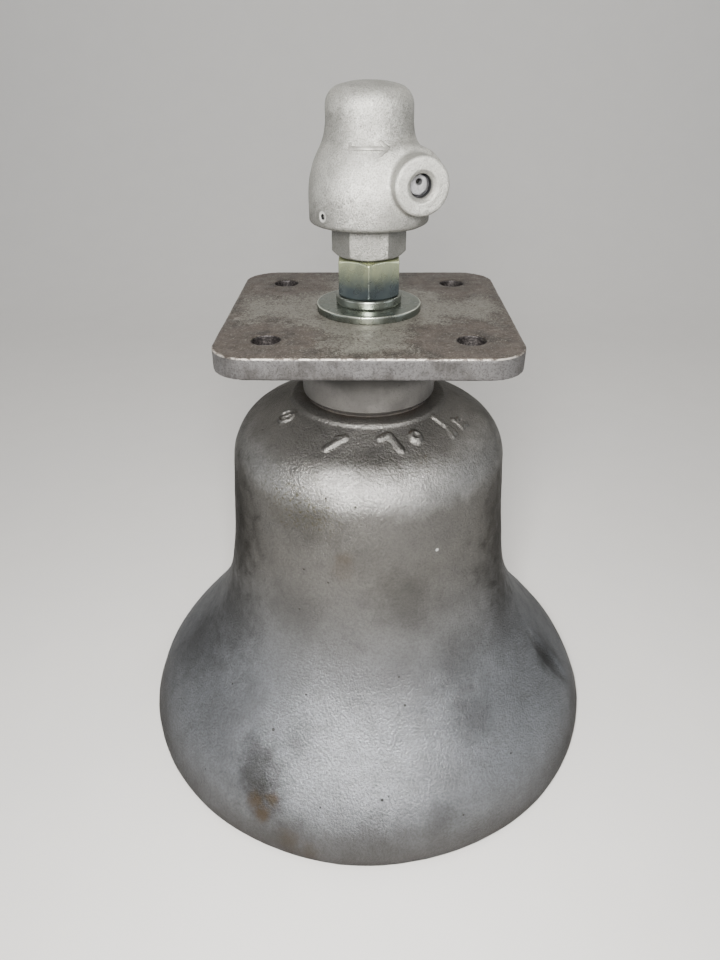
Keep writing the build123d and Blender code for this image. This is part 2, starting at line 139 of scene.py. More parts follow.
def lathe(outline, segments):
    """A closed outline of (radius, height) turned about z: points, outward normals, faces."""
    ring = np.array(outline)
    rows = len(ring)
    turn = np.linspace(0, 2 * pi, segments, endpoint=False)
    across = np.roll(ring, -1, axis=0) - np.roll(ring, 1, axis=0)
    area = np.sum(ring[:, 0] * np.roll(ring[:, 1], -1) - np.roll(ring[:, 0], -1) * ring[:, 1])
    way = np.stack([across[:, 1], -across[:, 0]], 1) * (1 if area > 0 else -1)
    way /= np.linalg.norm(way, axis=1)[:, None]
    spin = np.stack([np.cos(turn), np.sin(turn)], 1)
    points = np.concatenate([
        (ring[:, None, :1] * spin[None]), np.repeat(ring[:, None, 1:], segments, 1)], 2)
    normals = np.concatenate([
        (way[:, None, :1] * spin[None]), np.repeat(way[:, None, 1:], segments, 1)], 2)
    i, j = np.meshgrid(np.arange(rows), np.arange(segments), indexing="ij")
    i2, j2 = (i + 1) % rows, (j + 1) % segments
    quads = np.stack([i * segments + j, i * segments + j2, i2 * segments + j2,
                      i2 * segments + j], -1).reshape(-1, 4)
    if area < 0:
        quads = quads[:, ::-1]
    return points.reshape(-1, 3), normals.reshape(-1, 3), quads


def rounded(corners, radii, count=4):
    """A closed outline whose corners are each rounded by their own radius."""
    out = []
    for i, radius in enumerate(radii):
        corner = np.array(corners[i], float)
        back = np.array(corners[i - 1]) - corner
        ahead = np.array(corners[(i + 1) % len(corners)]) - corner
        back, ahead = back / np.linalg.norm(back), ahead / np.linalg.norm(ahead)
        reach = radius / tan(acos(np.clip(back @ ahead, -1, 1)) / 2)
        for t in np.linspace(0, 1, count):
            out.append(tuple(corner + back * reach * (1 - t) ** 2 + ahead * reach * t ** 2))
    return out


# ---- distance fields: negative inside, millimetres ----
def smooth_max(a, b, k):
    """Intersection of two fields with an edge rounded by about k."""
    h = np.maximum(k - np.abs(a - b), 0) / k
    return np.maximum(a, b) + h * h * k / 4


def smooth_min(a, b, k):
    """Union of two fields with a fillet of about k."""
    return -smooth_max(-a, -b, k)


def cut(a, b, k):
    """Field a with b taken out of it."""
    return smooth_max(a, -b, k)


def slab(z, low, high):
    return np.abs(z - (low + high) / 2) - (high - low) / 2


def round_corner(a, b, radius):
    """Intersection of two fields with a true round of a radius where they meet."""
    a, b = a + radius, b + radius
    return np.hypot(np.maximum(a, 0), np.maximum(b, 0)) + np.minimum(np.maximum(a, b), 0) - radius


def hexagon(x, y, flats, turn):
    """A hexagon by its width across flats. With turn 0 two flats face -y and +y."""
    walls = [np.abs(x * sin(t) + y * cos(t)) for t in (radians(turn + k * 60) for k in range(3))]
    return np.maximum.reduce(walls) - flats / 2


def polygon(r, z, outline):
    """Signed distance to a closed outline of (radius, height)."""
    corners = np.array(outline)
    best = np.full(r.shape, np.inf)
    inside = np.zeros(r.shape, bool)
    for a, b in zip(corners, np.roll(corners, -1, axis=0)):
        edge = b - a
        wr, wz = r - a[0], z - a[1]
        t = np.clip((wr * edge[0] + wz * edge[1]) / max(edge @ edge, 1e-12), 0, 1)
        best = np.minimum(best, (wr - edge[0] * t) ** 2 + (wz - edge[1] * t) ** 2)
        if a[1] != b[1]:
            spans = (a[1] > z) != (b[1] > z)
            inside ^= spans & (r < (b[0] - a[0]) * (z - a[1]) / (b[1] - a[1]) + a[0])
    return np.sqrt(best) * np.where(inside, -1, 1)


def stroke(x, y, start, end, half_width):
    """Distance to a bar with round ends, in a plane."""
    dx, dy = end[0] - start[0], end[1] - start[1]
    t = np.clip(((x - start[0]) * dx + (y - start[1]) * dy) / max(dx * dx + dy * dy, 1e-9), 0, 1)
    return np.hypot(x - start[0] - dx * t, y - start[1] - dy * t) - half_width


def gradient(field, p, h=0.02):
    """Value and gradient of a field at points."""
    value = field(*p.T)
    slopes = [(field(*(p + d).T) - field(*(p - d).T)) / (2 * h) for d in np.eye(3) * h]
    return value, np.stack(slopes, 1)


def net(field, low, high, cell):
    """Points, normals and quads of the surface where the field is zero."""
    low = np.array(low, float)
    axes = [np.arange(low[i] - cell * 1.5, high[i] + cell * 2, cell) for i in range(3)]
    start = np.array([a[0] for a in axes])
    grid = np.meshgrid(*axes, indexing="ij")
    f = field(*grid).astype(float)
    cells = np.array(f.shape) - 1
    total = np.zeros((*cells, 3))
    count = np.zeros(cells)
    quads = []
    for axis in range(3):
        u, v = (axis + 1) % 3, (axis + 2) % 3
        ahead = np.roll(f, -1, axis=axis)
        crossing = (f < 0) != (ahead < 0)
        at = np.argwhere(crossing)
        keep = (at[:, axis] < cells[axis]) & (at[:, u] > 0) & (at[:, v] > 0)
        keep &= (at[:, u] < cells[u]) & (at[:, v] < cells[v])
        at = at[keep]
        a, b = f[tuple(at.T)], ahead[tuple(at.T)]
        point = at.astype(float)
        point[:, axis] += a / (a - b)
        corners = []
        for du, dv in ((0, 0), (1, 0), (1, 1), (0, 1)):
            cell_at = at.copy()
            cell_at[:, u] -= du
            cell_at[:, v] -= dv
            np.add.at(total, tuple(cell_at.T), point)
            np.add.at(count, tuple(cell_at.T), 1)
            corners.append(np.ravel_multi_index(tuple(cell_at.T), cells))
        ring = np.stack(corners, 1)
        quads.append(np.where((a < 0)[:, None], ring, ring[:, ::-1]))
    quads = np.concatenate(quads)
    used, faces = np.unique(quads, return_inverse=True)
    points = (total.reshape(-1, 3)[used] / count.reshape(-1, 1)[used]) * cell + start
    for _ in range(3):
        value, slope = gradient(field, points)
        size = np.maximum(np.sum(slope * slope, 1), 0.2)
        points -= np.clip(value / size, -cell, cell)[:, None] * slope
    slope = gradient(field, points)[1]
    normals = slope / np.maximum(np.linalg.norm(slope, axis=1), 1e-6)[:, None]
    return points, normals, faces.reshape(-1, 4)


# ---- materials ----
class Finish:
    """A Principled material with helpers that add and link procedural nodes."""

    def __init__(self, name, metallic=0.0, edge=1.0):
        self.material = bpy.data.materials.new(name)
        self.material.use_nodes = True
        self.tree = self.material.node_tree
        self.shader = next(n for n in self.tree.nodes if n.type == "BSDF_PRINCIPLED")
        self.shader.inputs["Metallic"].default_value = metallic
        self.shader.inputs["Specular Tint"].default_value = (edge, edge, edge, 1)
        self.coordinates = self.node("ShaderNodeTexCoord")
        self.place = self.coordinates.outputs["Object"]

    def node(self, kind, **settings):
        made = self.tree.nodes.new(kind)
        for key, value in settings.items():
            setattr(made, key, value)
        return made

    def put(self, socket, value):
        if isinstance(value, bpy.types.NodeSocket):
            self.tree.links.new(value, socket)
        else:
            socket.default_value = value

    def noise(self, size_mm, detail=3.0, rough=0.55, stretch=None, warp=0.0):
        """Noise whose lumps are about size_mm across."""
        made = self.node("ShaderNodeTexNoise")
        made.inputs["Scale"].default_value = 1 / (size_mm * MM)
        made.inputs["Detail"].default_value = detail
        made.inputs["Roughness"].default_value = rough
        made.inputs["Distortion"].default_value = warp
        self.put(made.inputs["Vector"], self.stretched(stretch))
        return made.outputs["Fac"]

    def stretched(self, stretch):
        if stretch is None:
            return self.place
        scale = self.node("ShaderNodeMapping")
        scale.inputs["Scale"].default_value = stretch
        self.put(scale.inputs["Vector"], self.place)
        return scale.outputs["Vector"]

    def cells(self, size_mm):
        """Distance from the nearest of many points about size_mm apart."""
        made = self.node("ShaderNodeTexVoronoi", feature="F1")
        made.inputs["Scale"].default_value = 1 / (size_mm * MM)
        self.put(made.inputs["Vector"], self.place)
        return made.outputs["Distance"]

    def fit(self, value, low, high, to_low=0.0, to_high=1.0, smooth=True):
        """The value mapped from one range to another and clamped."""
        made = self.node("ShaderNodeMapRange")
        made.interpolation_type = "SMOOTHSTEP" if smooth else "LINEAR"
        self.put(made.inputs["Value"], value)
        made.inputs["From Min"].default_value = low
        made.inputs["From Max"].default_value = high
        made.inputs["To Min"].default_value = to_low
        made.inputs["To Max"].default_value = to_high
        return made.outputs["Result"]

    def math(self, operation, a, b=0.0):
        made = self.node("ShaderNodeMath", operation=operation)
        self.put(made.inputs[0], a)
        self.put(made.inputs[1], b)
        return made.outputs[0]

    def mix(self, amount, a, b):
        """Colour b laid over colour a by an amount."""
        made = self.node("ShaderNodeMix", data_type="RGBA")
        self.put(made.inputs[0], amount)
        for socket, colour in ((made.inputs[6], a), (made.inputs[7], b)):
            self.put(socket, (*colour, 1.0) if isinstance(colour, tuple) else colour)
        return made.outputs[2]

    def vector(self, operation, a, b=None):
        made = self.node("ShaderNodeVectorMath", operation=operation)
        self.put(made.inputs[0], a)
        if b is not None:
            self.put(made.inputs[1], b)
        return made.outputs["Value" if operation in ("LENGTH", "DOT_PRODUCT") else "Vector"]

    def away(self, centre_mm):
        """Distance in millimetres from a place on the object."""
        apart = self.vector("SUBTRACT", self.place, [c * MM for c in centre_mm])
        return self.vector("LENGTH", self.vector("MULTIPLY", apart, (1 / MM,) * 3))

    def blot(self, centre_mm, radius_mm, wobble):
        """A soft patch, 1 inside and 0 outside, whose edge follows a wobble about zero."""
        away = self.math("DIVIDE", self.away(centre_mm), radius_mm)
        return self.fit(self.plus(away, wobble), 1.5, 0.25)

    def wobble(self, size_mm, reach):
        """Noise spread evenly about zero."""
        return self.fit(self.noise(size_mm, 4.0, 0.65), 0.25, 0.75, -reach, reach, False)

    def axes(self):
        """x, y and z on the object in millimetres."""
        parts = self.node("ShaderNodeSeparateXYZ")
        self.put(parts.inputs[0], self.vector("MULTIPLY", self.place, (1 / MM,) * 3))
        return tuple(parts.outputs)

    def height(self):
        return self.axes()[2]

    def inward(self):
        """1 where the surface looks towards the z axis, 0 where it looks away."""
        spoke = self.vector("MULTIPLY", self.place, (1 / MM, 1 / MM, 0))
        outward = self.vector("DOT_PRODUCT", spoke, self.coordinates.outputs["Normal"])
        return self.fit(outward, 2, -2)

    def times(self, a, b):
        return self.math("MULTIPLY", a, b)

    def plus(self, a, b):
        return self.math("ADD", a, b)

    def hypot(self, a, b):
        return self.math("SQRT", self.plus(self.math("POWER", a, 2.0), self.math("POWER", b, 2.0)))

    def off(self, value, centre):
        """How far a value is from a centre."""
        return self.math("ABSOLUTE", self.math("SUBTRACT", value, centre))

    def lay(self, colour, over, mask, amount):
        """A colour with another one over it where the mask is, up to an amount."""
        return self.mix(self.times(mask, amount), colour, over)

    def bump(self, value, depth_mm, strength=1.0, after=None):
        made = self.node("ShaderNodeBump")
        made.inputs["Strength"].default_value = strength
        made.inputs["Distance"].default_value = depth_mm * MM
        self.put(made.inputs["Height"], value)
        if after is not None:
            self.put(made.inputs["Normal"], after)
        return made.outputs["Normal"]

    def done(self, colour=None, roughness=None, normal=None):
        for socket, value in (("Base Color", colour), ("Roughness", roughness),
                              ("Normal", normal)):
            if isinstance(value, tuple):
                value = (*value, 1.0)
            if value is not None:
                self.put(self.shader.inputs[socket], value)
        return self.material


def polar(azimuth, radius, z=0.0):
    """A place by degrees to the right of straight ahead (-y), radius and height."""
    return radius * sin(radians(azimuth)), -radius * cos(radians(azimuth)), z


# places on the bell: azimuth, radius, height, size in mm, and how strong the mark is
# Smudges; the large patches near 62 to 78 degrees either side darken the bell's left and right
# sides as painted shade.
BELL_SMUDGES_AND_SIDE_SHADE = [
    (-29, 133, 39, 17, 0.72), (-24, 143, 27, 12, 0.60), (14, 86, 141, 20, 0.45),
    (34, 115, 63, 17, 0.38), (17, 144, 24, 12, 0.38), (-20, 117, 60, 10, 0.30),
    (-62, 95, 96, 28, 0.45), (-75, 118, 60, 26, 0.35), (64, 96, 96, 28, 0.40),
    (34, 97, 93, 19, 0.35), (-3, 84, 168, 16, 0.20), (-18, 149, 12, 16, 0.45),
    (-70, 82, 182, 24, 0.40), (70, 84, 176, 28, 0.35), (76, 127, 49, 15, 0.68),
    (-78, 83, 150, 40, 0.80), (78, 84, 140, 40, 0.75), (-24, 82, 186, 17, 0.32),
    (-26, 88, 128, 18, 0.25), (5, 70, 216, 15, 0.30), (0, 150, 10, 26, 0.25),
    (-150, 110, 70, 40, 0.55), (130, 86, 140, 38, 0.5), (175, 140, 30, 34, 0.55),
    (-110, 84, 170, 32, 0.45),
]
BELL_RUST = [
    (-24.5, 146, 21, 5.0, 0.75), (-26.8, 143, 27, 5.5, 0.65), (-22.6, 141, 31, 4.0, 0.55),
    (-17.5, 150, 12, 7.0, 0.50), (-12.5, 151, 8, 6.0, 0.45), (-8.4, 83.5, 168, 5.0, 0.22),
    (-9.5, 84, 160, 6.5, 0.15), (160, 148, 16, 9.0, 0.6), (-140, 150, 10, 10.0, 0.5),
]
BELL_SPECKLED = [(-26, 81, 197, 16, 0.85), (-37, 80.5, 199, 14, 0.75), (-15, 82, 190, 11, 0.5),
                 (25.6, 66, 219, 5, 0.8)]
BELL_PITS = [(-28, 118, 59, 1.0), (3.6, 135, 38, 0.9), (5.2, 134, 39, 0.7),
             (-11, 139, 33, 0.8), (-48, 112, 66, 0.8), (12, 104, 78, 0.7), (4.6, 139, 32, 0.9)]
BELL_CHIP = (26.8, 83.4, 169, 1.3)


def bell_paint():
    """Silver paint on a sand casting, dirty in places, with rust spots and a dull inside; painted
    reflection and shade by height, a painted highlight round the shoulder, and painted shade on the
    sides and lower rim.
    """
    m = Finish("bell_paint", metallic=0.92, edge=0.30)
    flare_top, waist_top, highlight_z, rim_top, rim_foot = 55, 165, 205, 38, 4
    flare, waist_shade, shoulder_highlight = (0.25, 0.26, 0.275), (0.178, 0.172, 0.160), (0.46, 0.455, 0.44)
    dull, soot_and_shade, rust = (0.085, 0.083, 0.082), (0.034, 0.032, 0.029), (0.092, 0.058, 0.026)
    height = m.height()
    # Painted reflection and shade by height: the flare lighter and bluer, the waist darker and
    # warmer.
    colour = m.mix(m.fit(height, flare_top, waist_top), flare, waist_shade)
    # Painted highlight: a lighter band round the shoulder.
    highlight_band = m.fit(m.off(m.plus(height, m.wobble(30, 8)), highlight_z), 15, 3)
    colour = m.lay(colour, shoulder_highlight, highlight_band, 0.6)
    clouds = m.fit(m.noise(60, 5.0, 0.62, warp=0.4), 0.45, 0.72)
    colour = m.lay(colour, dull, clouds, 0.36)
    mottle = m.fit(m.noise(13, 5.0, 0.66), 0.44, 0.72)
    colour = m.lay(colour, dull, mottle, 0.26)
    grain = m.noise(1.35, 4.0, 0.66)
    specks = m.fit(grain, 0.62, 0.34)
    colour = m.lay(colour, dull, specks, 0.42)
    wobble = m.wobble(10, 0.45)
    # Smudges, and painted shade on the bell's sides.
    for azimuth, radius, z, size, amount in BELL_SMUDGES_AND_SIDE_SHADE:
        patch = m.times(m.blot(polar(azimuth, radius, z), size, wobble), amount)
        colour = m.mix(patch, colour, soot_and_shade)
    fine = m.wobble(4, 0.45)
    for azimuth, radius, z, size, amount in BELL_RUST:
        patch = m.times(m.blot(polar(azimuth, radius, z), size, fine), amount)
        colour = m.mix(patch, colour, rust)
    flecks = m.fit(m.noise(1.6, 5.0, 0.8, warp=0.5), 0.50, 0.64)
    for azimuth, radius, z, size, amount in BELL_SPECKLED:
        patch = m.times(m.blot(polar(azimuth, radius, z), size, wobble), m.times(flecks, amount))
        colour = m.mix(patch, colour, (0.10, 0.088, 0.05))
    hollow = m.fit(m.cells(17), 0.045, 0.03)
    for azimuth, radius, z, size in BELL_PITS:
        spot = m.fit(m.away(polar(azimuth, radius, z)), size * 1.3, size * 0.6)
        hollow = m.math("MAXIMUM", hollow, spot)
    colour = m.lay(colour, (0.04, 0.036, 0.03), hollow, 0.8)
    azimuth, radius, z, size = BELL_CHIP
    chip = m.fit(m.away(polar(azimuth, radius, z)), size, size * 0.5)
    colour = m.mix(chip, colour, (0.75, 0.75, 0.74))
    # Painted shade: darker along the lower rim.
    rim = m.fit(m.plus(height, m.wobble(14, 5.0)), rim_top, rim_foot)
    colour = m.lay(colour, (0.065, 0.06, 0.055), rim, 0.74)
    pale, brown = (0.17, 0.155, 0.14), (0.085, 0.058, 0.042)
    inside = m.mix(m.fit(m.noise(26, 6.0, 0.65), 0.34, 0.74), pale, brown)
    colour = m.mix(m.inward(), colour, inside)
    rough = m.fit(m.noise(7, 4.0, 0.6), 0.3, 0.7, 0.33, 0.43)
    rough = m.plus(rough, m.times(mottle, 0.06))
    normal = m.bump(grain, 0.60, 1.0)
    normal = m.bump(m.noise(5, 3.0, 0.6), 0.13, 0.8, normal)
    return m.done(colour, rough, m.bump(hollow, -0.7, 0.9, normal))


def head_casting():
    """Blasted aluminium casting: pale, fine-grained, with painted shade low down, a darker band
    round the neck and dark pores.
    """
    m = Finish("head_casting", metallic=0.72, edge=0.55)
    light, dark, darkening_tone = (0.53, 0.525, 0.49), (0.41, 0.405, 0.375), (0.15, 0.148, 0.135)
    unshaded_above, shaded_below, shoulder_z = 346, 327, 371
    height = m.height()
    colour = m.mix(m.fit(m.noise(13, 5.0, 0.65), 0.42, 0.68), light, dark)
    # Painted shade darkens the head low down; a darker band runs round the neck.
    low = m.fit(m.plus(height, m.wobble(12, 11.0)), unshaded_above, shaded_below)
    upper = m.fit(m.off(m.plus(height, m.wobble(9, 9.0)), shoulder_z), 12, 2)
    shade_low_and_neck_band = m.math("MAXIMUM", low, m.times(upper, 0.55))
    grain = m.noise(0.75, 4.0, 0.75)
    colour = m.lay(colour, (0.22, 0.218, 0.20), m.fit(grain, 0.60, 0.40), 0.50)
    specks = m.times(m.fit(grain, 0.48, 0.36), m.plus(m.times(shade_low_and_neck_band, 0.60), 0.25))
    colour = m.mix(specks, colour, (0.11, 0.108, 0.095))
    colour = m.lay(colour, darkening_tone, shade_low_and_neck_band, 0.62)
    pores = m.fit(m.cells(6.5), 0.065, 0.03)
    colour = m.lay(colour, (0.08, 0.075, 0.065), pores, 0.8)
    scuffs = m.fit(m.noise(5, 4.0, 0.7, warp=0.8), 0.64, 0.70)
    colour = m.lay(colour, (0.14, 0.135, 0.125), scuffs, 0.4)
    inlet = m.away(INLET_BOTTOM)
    colour = m.lay(colour, (0.22, 0.22, 0.235), m.fit(inlet, 6.6, 5.9), 0.8)
    # Painted shadow: a near-black ring round the bottom of the inlet bore.
    wall = m.fit(m.off(inlet, INLET_BORE_R + 0.1), 1.0, 0.6)
    colour = m.lay(colour, (0.03, 0.03, 0.032), wall, 0.92)
    # A pale ring round the vent, then a near-black spot over the vent hole as painted shade.
    vent = m.away(polar(VENT_TURN, HEAD_R, VENT_Z))
    colour = m.mix(m.fit(vent, 3.0, 2.3), colour, (0.68, 0.67, 0.63))
    colour = m.mix(m.fit(vent, 1.6, 1.3), colour, (0.012, 0.012, 0.012))
    rough = m.fit(m.noise(4, 3.0), 0.3, 0.7, 0.42, 0.54)
    normal = m.bump(grain, 0.34, 1.0)
    normal = m.bump(m.noise(3.0, 3.0), 0.34, 0.6, normal)
    return m.done(colour, rough, m.bump(pores, -0.3, 0.8, normal))


def collar_metal():
    """Turned and blasted spacer with an even, sparkling grain, and a painted shadow of the plate
    across its top.
    """
    m = Finish("collar_metal", metallic=0.65)
    light, dark, lit_below, shaded_above = (0.150, 0.143, 0.134), (0.108, 0.103, 0.097), 243, 251
    grain = m.noise(0.8, 3.0, 0.65)
    colour = m.mix(m.fit(m.noise(16, 4.0), 0.42, 0.66), light, dark)
    colour = m.lay(colour, (0.09, 0.085, 0.08), m.fit(grain, 0.46, 0.36), 0.55)
    # Painted shadow of the plate: dark towards the top of the collar.
    shade = m.fit(m.plus(m.height(), m.wobble(12, 1.5)), lit_below, shaded_above)
    colour = m.lay(colour, (0.04, 0.038, 0.035), shade, 0.8)
    pits = m.fit(m.cells(9), 0.07, 0.045)
    colour = m.lay(colour, (0.05, 0.045, 0.04), pits, 0.8)
    rough = m.fit(m.noise(3, 3.0), 0.3, 0.7, 0.42, 0.54)
    return m.done(colour, rough, m.bump(grain, 0.16, 1.0))


def plate_metal():
    """Steel plate: thin silver left in a cross over brown steel, dark round its holes, with painted
    shade on the hole walls.
    """
    m = Finish("plate_metal", metallic=0.60)
    x, y, z = m.axes()
    wide, deep = m.math("ABSOLUTE", x), m.math("ABSOLUTE", y)
    hole = m.hypot(*(m.math("SUBTRACT", side, HOLE_SPACING / 2) for side in (wide, deep)))
    wave = m.wobble(20, 17.0)
    pale = m.fit(m.plus(hole, wave), 17, 45)
    border = m.fit(m.plus(m.math("MAXIMUM", wide, deep), m.times(wave, 0.55)), 62, 76)
    pale = m.times(pale, m.fit(border, 0, 1, 1.0, 0.15, False))
    grain = m.noise(0.9, 4.0, 0.75)
    patchy = m.plus(pale, m.fit(grain, 0.36, 0.64, -0.85, 0.85, False))
    rust, dark_rust = (0.084, 0.069, 0.058), (0.046, 0.038, 0.033)
    brown = m.mix(m.fit(m.noise(9, 4.0, 0.6), 0.40, 0.65), rust, dark_rust)
    top = m.lay(brown, (0.205, 0.197, 0.170), m.fit(patchy, 0.24, 0.98), 0.95)
    ring = m.fit(m.off(m.plus(hole, m.times(wave, 0.4)), 21), 9, 0)
    top = m.lay(top, (0.13, 0.105, 0.09), ring, 0.35)
    top = m.lay(top, (0.40, 0.385, 0.34), m.fit(grain, 0.60, 0.67), 0.45)
    top = m.lay(top, (0.045, 0.038, 0.032), m.fit(grain, 0.47, 0.36), 0.78)
    streaks = m.noise(1.6, 3.0, 0.6, stretch=(1, 1, 0.15))
    light, dark = (0.118, 0.114, 0.114), (0.062, 0.058, 0.056)
    side = m.mix(m.fit(m.noise(18, 4.0, 0.6), 0.42, 0.62), light, dark)
    side = m.lay(side, (0.12, 0.115, 0.11), m.fit(streaks, 0.48, 0.66), 0.35)
    side = m.lay(side, (0.035, 0.032, 0.03), m.fit(grain, 0.52, 0.38), 0.7)
    colour = m.mix(m.fit(z, PLATE_TOP - 1.2, PLATE_TOP - 0.5), side, top)
    worn = m.times(m.fit(z, PLATE_TOP - 1.1, PLATE_TOP - 0.6),
                   m.fit(z, PLATE_TOP - 0.05, PLATE_TOP - 0.25))
    worn = m.times(worn, m.fit(m.math("MAXIMUM", wide, deep), 64, 68))
    worn = m.times(worn, m.fit(m.noise(4, 3.0, 0.6), 0.42, 0.56))
    colour = m.lay(colour, (0.55, 0.51, 0.46), worn, 0.7)
    # Painted shade: the hole walls are near-black with a little grain.
    walls = m.times(m.fit(hole, 9.4, 8.9), m.fit(z, PLATE_TOP - 0.05, PLATE_TOP - 0.5))
    hole_wall_shade = m.mix(m.fit(grain, 0.45, 0.66), (0.012, 0.01, 0.01), (0.07, 0.062, 0.06))
    colour = m.mix(walls, colour, hole_wall_shade)
    rough = m.fit(m.noise(6, 4.0), 0.3, 0.7, 0.42, 0.58)
    normal = m.bump(grain, 0.22, 0.8)
    normal = m.bump(streaks, 0.20, 0.35, normal)
    return m.done(colour, rough, m.bump(m.noise(8, 3.0), 0.4, 0.5, normal))


def zinc(name, low_z, high_z, low=(0.62, 0.67, 0.70), high=(0.78, 0.81, 0.58), edge_highlight_r=100.0):
    """Bright zinc plate, bluer and darker towards the lower end as painted reflection and shade
    over the plating's own yellow tint, and bright outside a rim's radius as a painted highlight on
    the top edge.
    """
    m = Finish(name, metallic=0.95, edge=0.7)
    x, y, z = m.axes()
    # Painted reflection and shade over the plating's tint: colour runs from low to high up the
    # piece.
    tint_and_reflection = m.fit(m.plus(z, m.wobble(7, (high_z - low_z) * 0.15)), low_z, high_z)
    colour = m.mix(tint_and_reflection, low, high)
    cloud = m.fit(m.noise(6, 2.0, 0.5, stretch=(1, 1, 0.35)), 0.35, 0.70)
    colour = m.lay(colour, (0.24, 0.28, 0.27), cloud, 0.30)
    # Painted highlight along the top edge outside the radius.
    rim = m.times(m.fit(m.hypot(x, y), edge_highlight_r - 0.6, edge_highlight_r), m.fit(z, high_z - 0.6, high_z - 0.2))
    colour = m.mix(rim, colour, (0.68, 0.72, 0.62))
    rough = m.fit(m.noise(9, 2.0), 0.3, 0.7, 0.24, 0.33)
    return m.done(colour, rough)


def plain(name, light, dark, metallic, rough_low, rough_high, grain_mm, depth_mm, stretch=None):
    """A two-tone grained finish for the working parts."""
    m = Finish(name, metallic=metallic)
    colour = m.mix(m.fit(m.noise(grain_mm * 5, 4.0, 0.65), 0.38, 0.66), light, dark)
    rough = m.fit(m.noise(grain_mm * 3, 3.0), 0.3, 0.7, rough_low, rough_high)
    return m.done(colour, rough, m.bump(m.noise(grain_mm, 3.0, 0.6, stretch), depth_mm, 0.7))


SLOTS = {s["node"]: s["material_slot"] for s in frame["record"]["subparts"]}
HEAD_R, VENT_TURN, VENT_Z = 31.0, -48.0, 331.6
INLET_TURN, INLET_Z, INLET_OFFSET, INLET_FACE, INLET_DEPTH = 14.0, 347.1, 16.3, 38.0, 7.5
INLET_BORE_R = 5.55
INLET_SIDE = (cos(radians(INLET_TURN)), sin(radians(INLET_TURN)))
INLET_WAY = (sin(radians(INLET_TURN)), -cos(radians(INLET_TURN)))
INLET_BOTTOM = tuple(INLET_SIDE[i] * INLET_OFFSET + INLET_WAY[i] * (INLET_FACE - INLET_DEPTH)
                     for i in range(2)) + (INLET_Z,)
HOLE_SPACING, PLATE_TOP = 101.6, heights("mounting_plate")[1]
NUT_LOW, NUT_HIGH = heights("stem_nut")
FLAT_WASHER_R, NUT_FLATS, NUT_BORE_R = 28.6, 32.0, 11.12

FINISHES = {
    "bell_paint": bell_paint(),
    "head_casting": head_casting(),
    "spacer_metal": collar_metal(),
    "plate_metal": plate_metal(),
    "zinc": zinc("zinc", PLATE_TOP - 4, PLATE_TOP + 9),
}
PLAIN_FINISHES = {      # light, dark, metallic, roughness from and to, grain in mm and its depth
    # head_mark is darker than the casting as painted shade along the raised arrow.
    "head_mark": ((0.33, 0.325, 0.30), (0.20, 0.195, 0.18), 0.6, 0.40, 0.55, 0.8, 0.1),
    "bronze": ((0.55, 0.38, 0.16), (0.36, 0.23, 0.10), 1.0, 0.22, 0.38, 1.0, 0.05),
    "fibre": ((0.03, 0.025, 0.02), (0.012, 0.01, 0.009), 0.0, 0.75, 0.92, 0.7, 0.08),
    "seal_rubber": ((0.03, 0.03, 0.03), (0.015, 0.015, 0.015), 0.0, 0.5, 0.7, 1.0, 0.03),
    "bright_steel": ((0.55, 0.55, 0.56), (0.40, 0.40, 0.41), 1.0, 0.18, 0.3, 0.5, 0.02, (1, 1, 12)),
    "spring_steel": ((0.30, 0.30, 0.31), (0.18, 0.18, 0.19), 1.0, 0.28, 0.42, 0.6, 0.03),
    "forged_steel": ((0.16, 0.15, 0.145), (0.075, 0.065, 0.06), 0.7, 0.45, 0.65, 1.5, 0.25),
    "ball_iron": ((0.20, 0.19, 0.18), (0.09, 0.075, 0.065), 0.8, 0.38, 0.6, 1.6, 0.3),
}
for finish_name, values in PLAIN_FINISHES.items():
    FINISHES[finish_name] = plain(finish_name, *values)
# Low and high colours of the painted reflection and shade; the washer also gets the painted edge
# highlight.
NUT_ZINC = zinc("zinc_nut", NUT_LOW + 4, NUT_HIGH - 1, (0.13, 0.16, 0.172), (0.62, 0.66, 0.41))
WASHER_ZINC = zinc("zinc_washer", PLATE_TOP + 2.4, PLATE_TOP + 4, (0.13, 0.14, 0.118),
                   (0.255, 0.275, 0.24), FLAT_WASHER_R - 0.4)

for node_name, node_object in frame["nodes"].items():
    node_object.data.materials.clear()
    node_object.data.materials.append(FINISHES[SLOTS[node_name]])


# ---- bell ----
WAIST_LEAN, CROWN_SLOPE = 4.6, 29.5      # degrees, as the CAD outline has them
SHOULDER_FOOT, SHOULDER_R, WALL = (81.8, 194.0), 30.0, 12.0
LIP_TOP = (149.4, 15.0)
LIP_SLOPE, INSIDE_SLOPE = (-0.34, 1), (-0.22, 1)
BELL_TOP, CROWN_INSIDE, STEM_HOLE_R = 230.0, 218.0, 11.5


def shoulder(foot, radius, step):
    """The round stretch from the upright wall to the crown's slope."""
    centre = (foot[0] - radius * cos(radians(WAIST_LEAN)),
              foot[1] - radius * sin(radians(WAIST_LEAN)))
    sweep = 90 - WAIST_LEAN - CROWN_SLOPE
    count = max(3, round(radius * radians(sweep) / step))
    return arc(centre, radius, WAIST_LEAN, WAIST_LEAN + sweep, count)


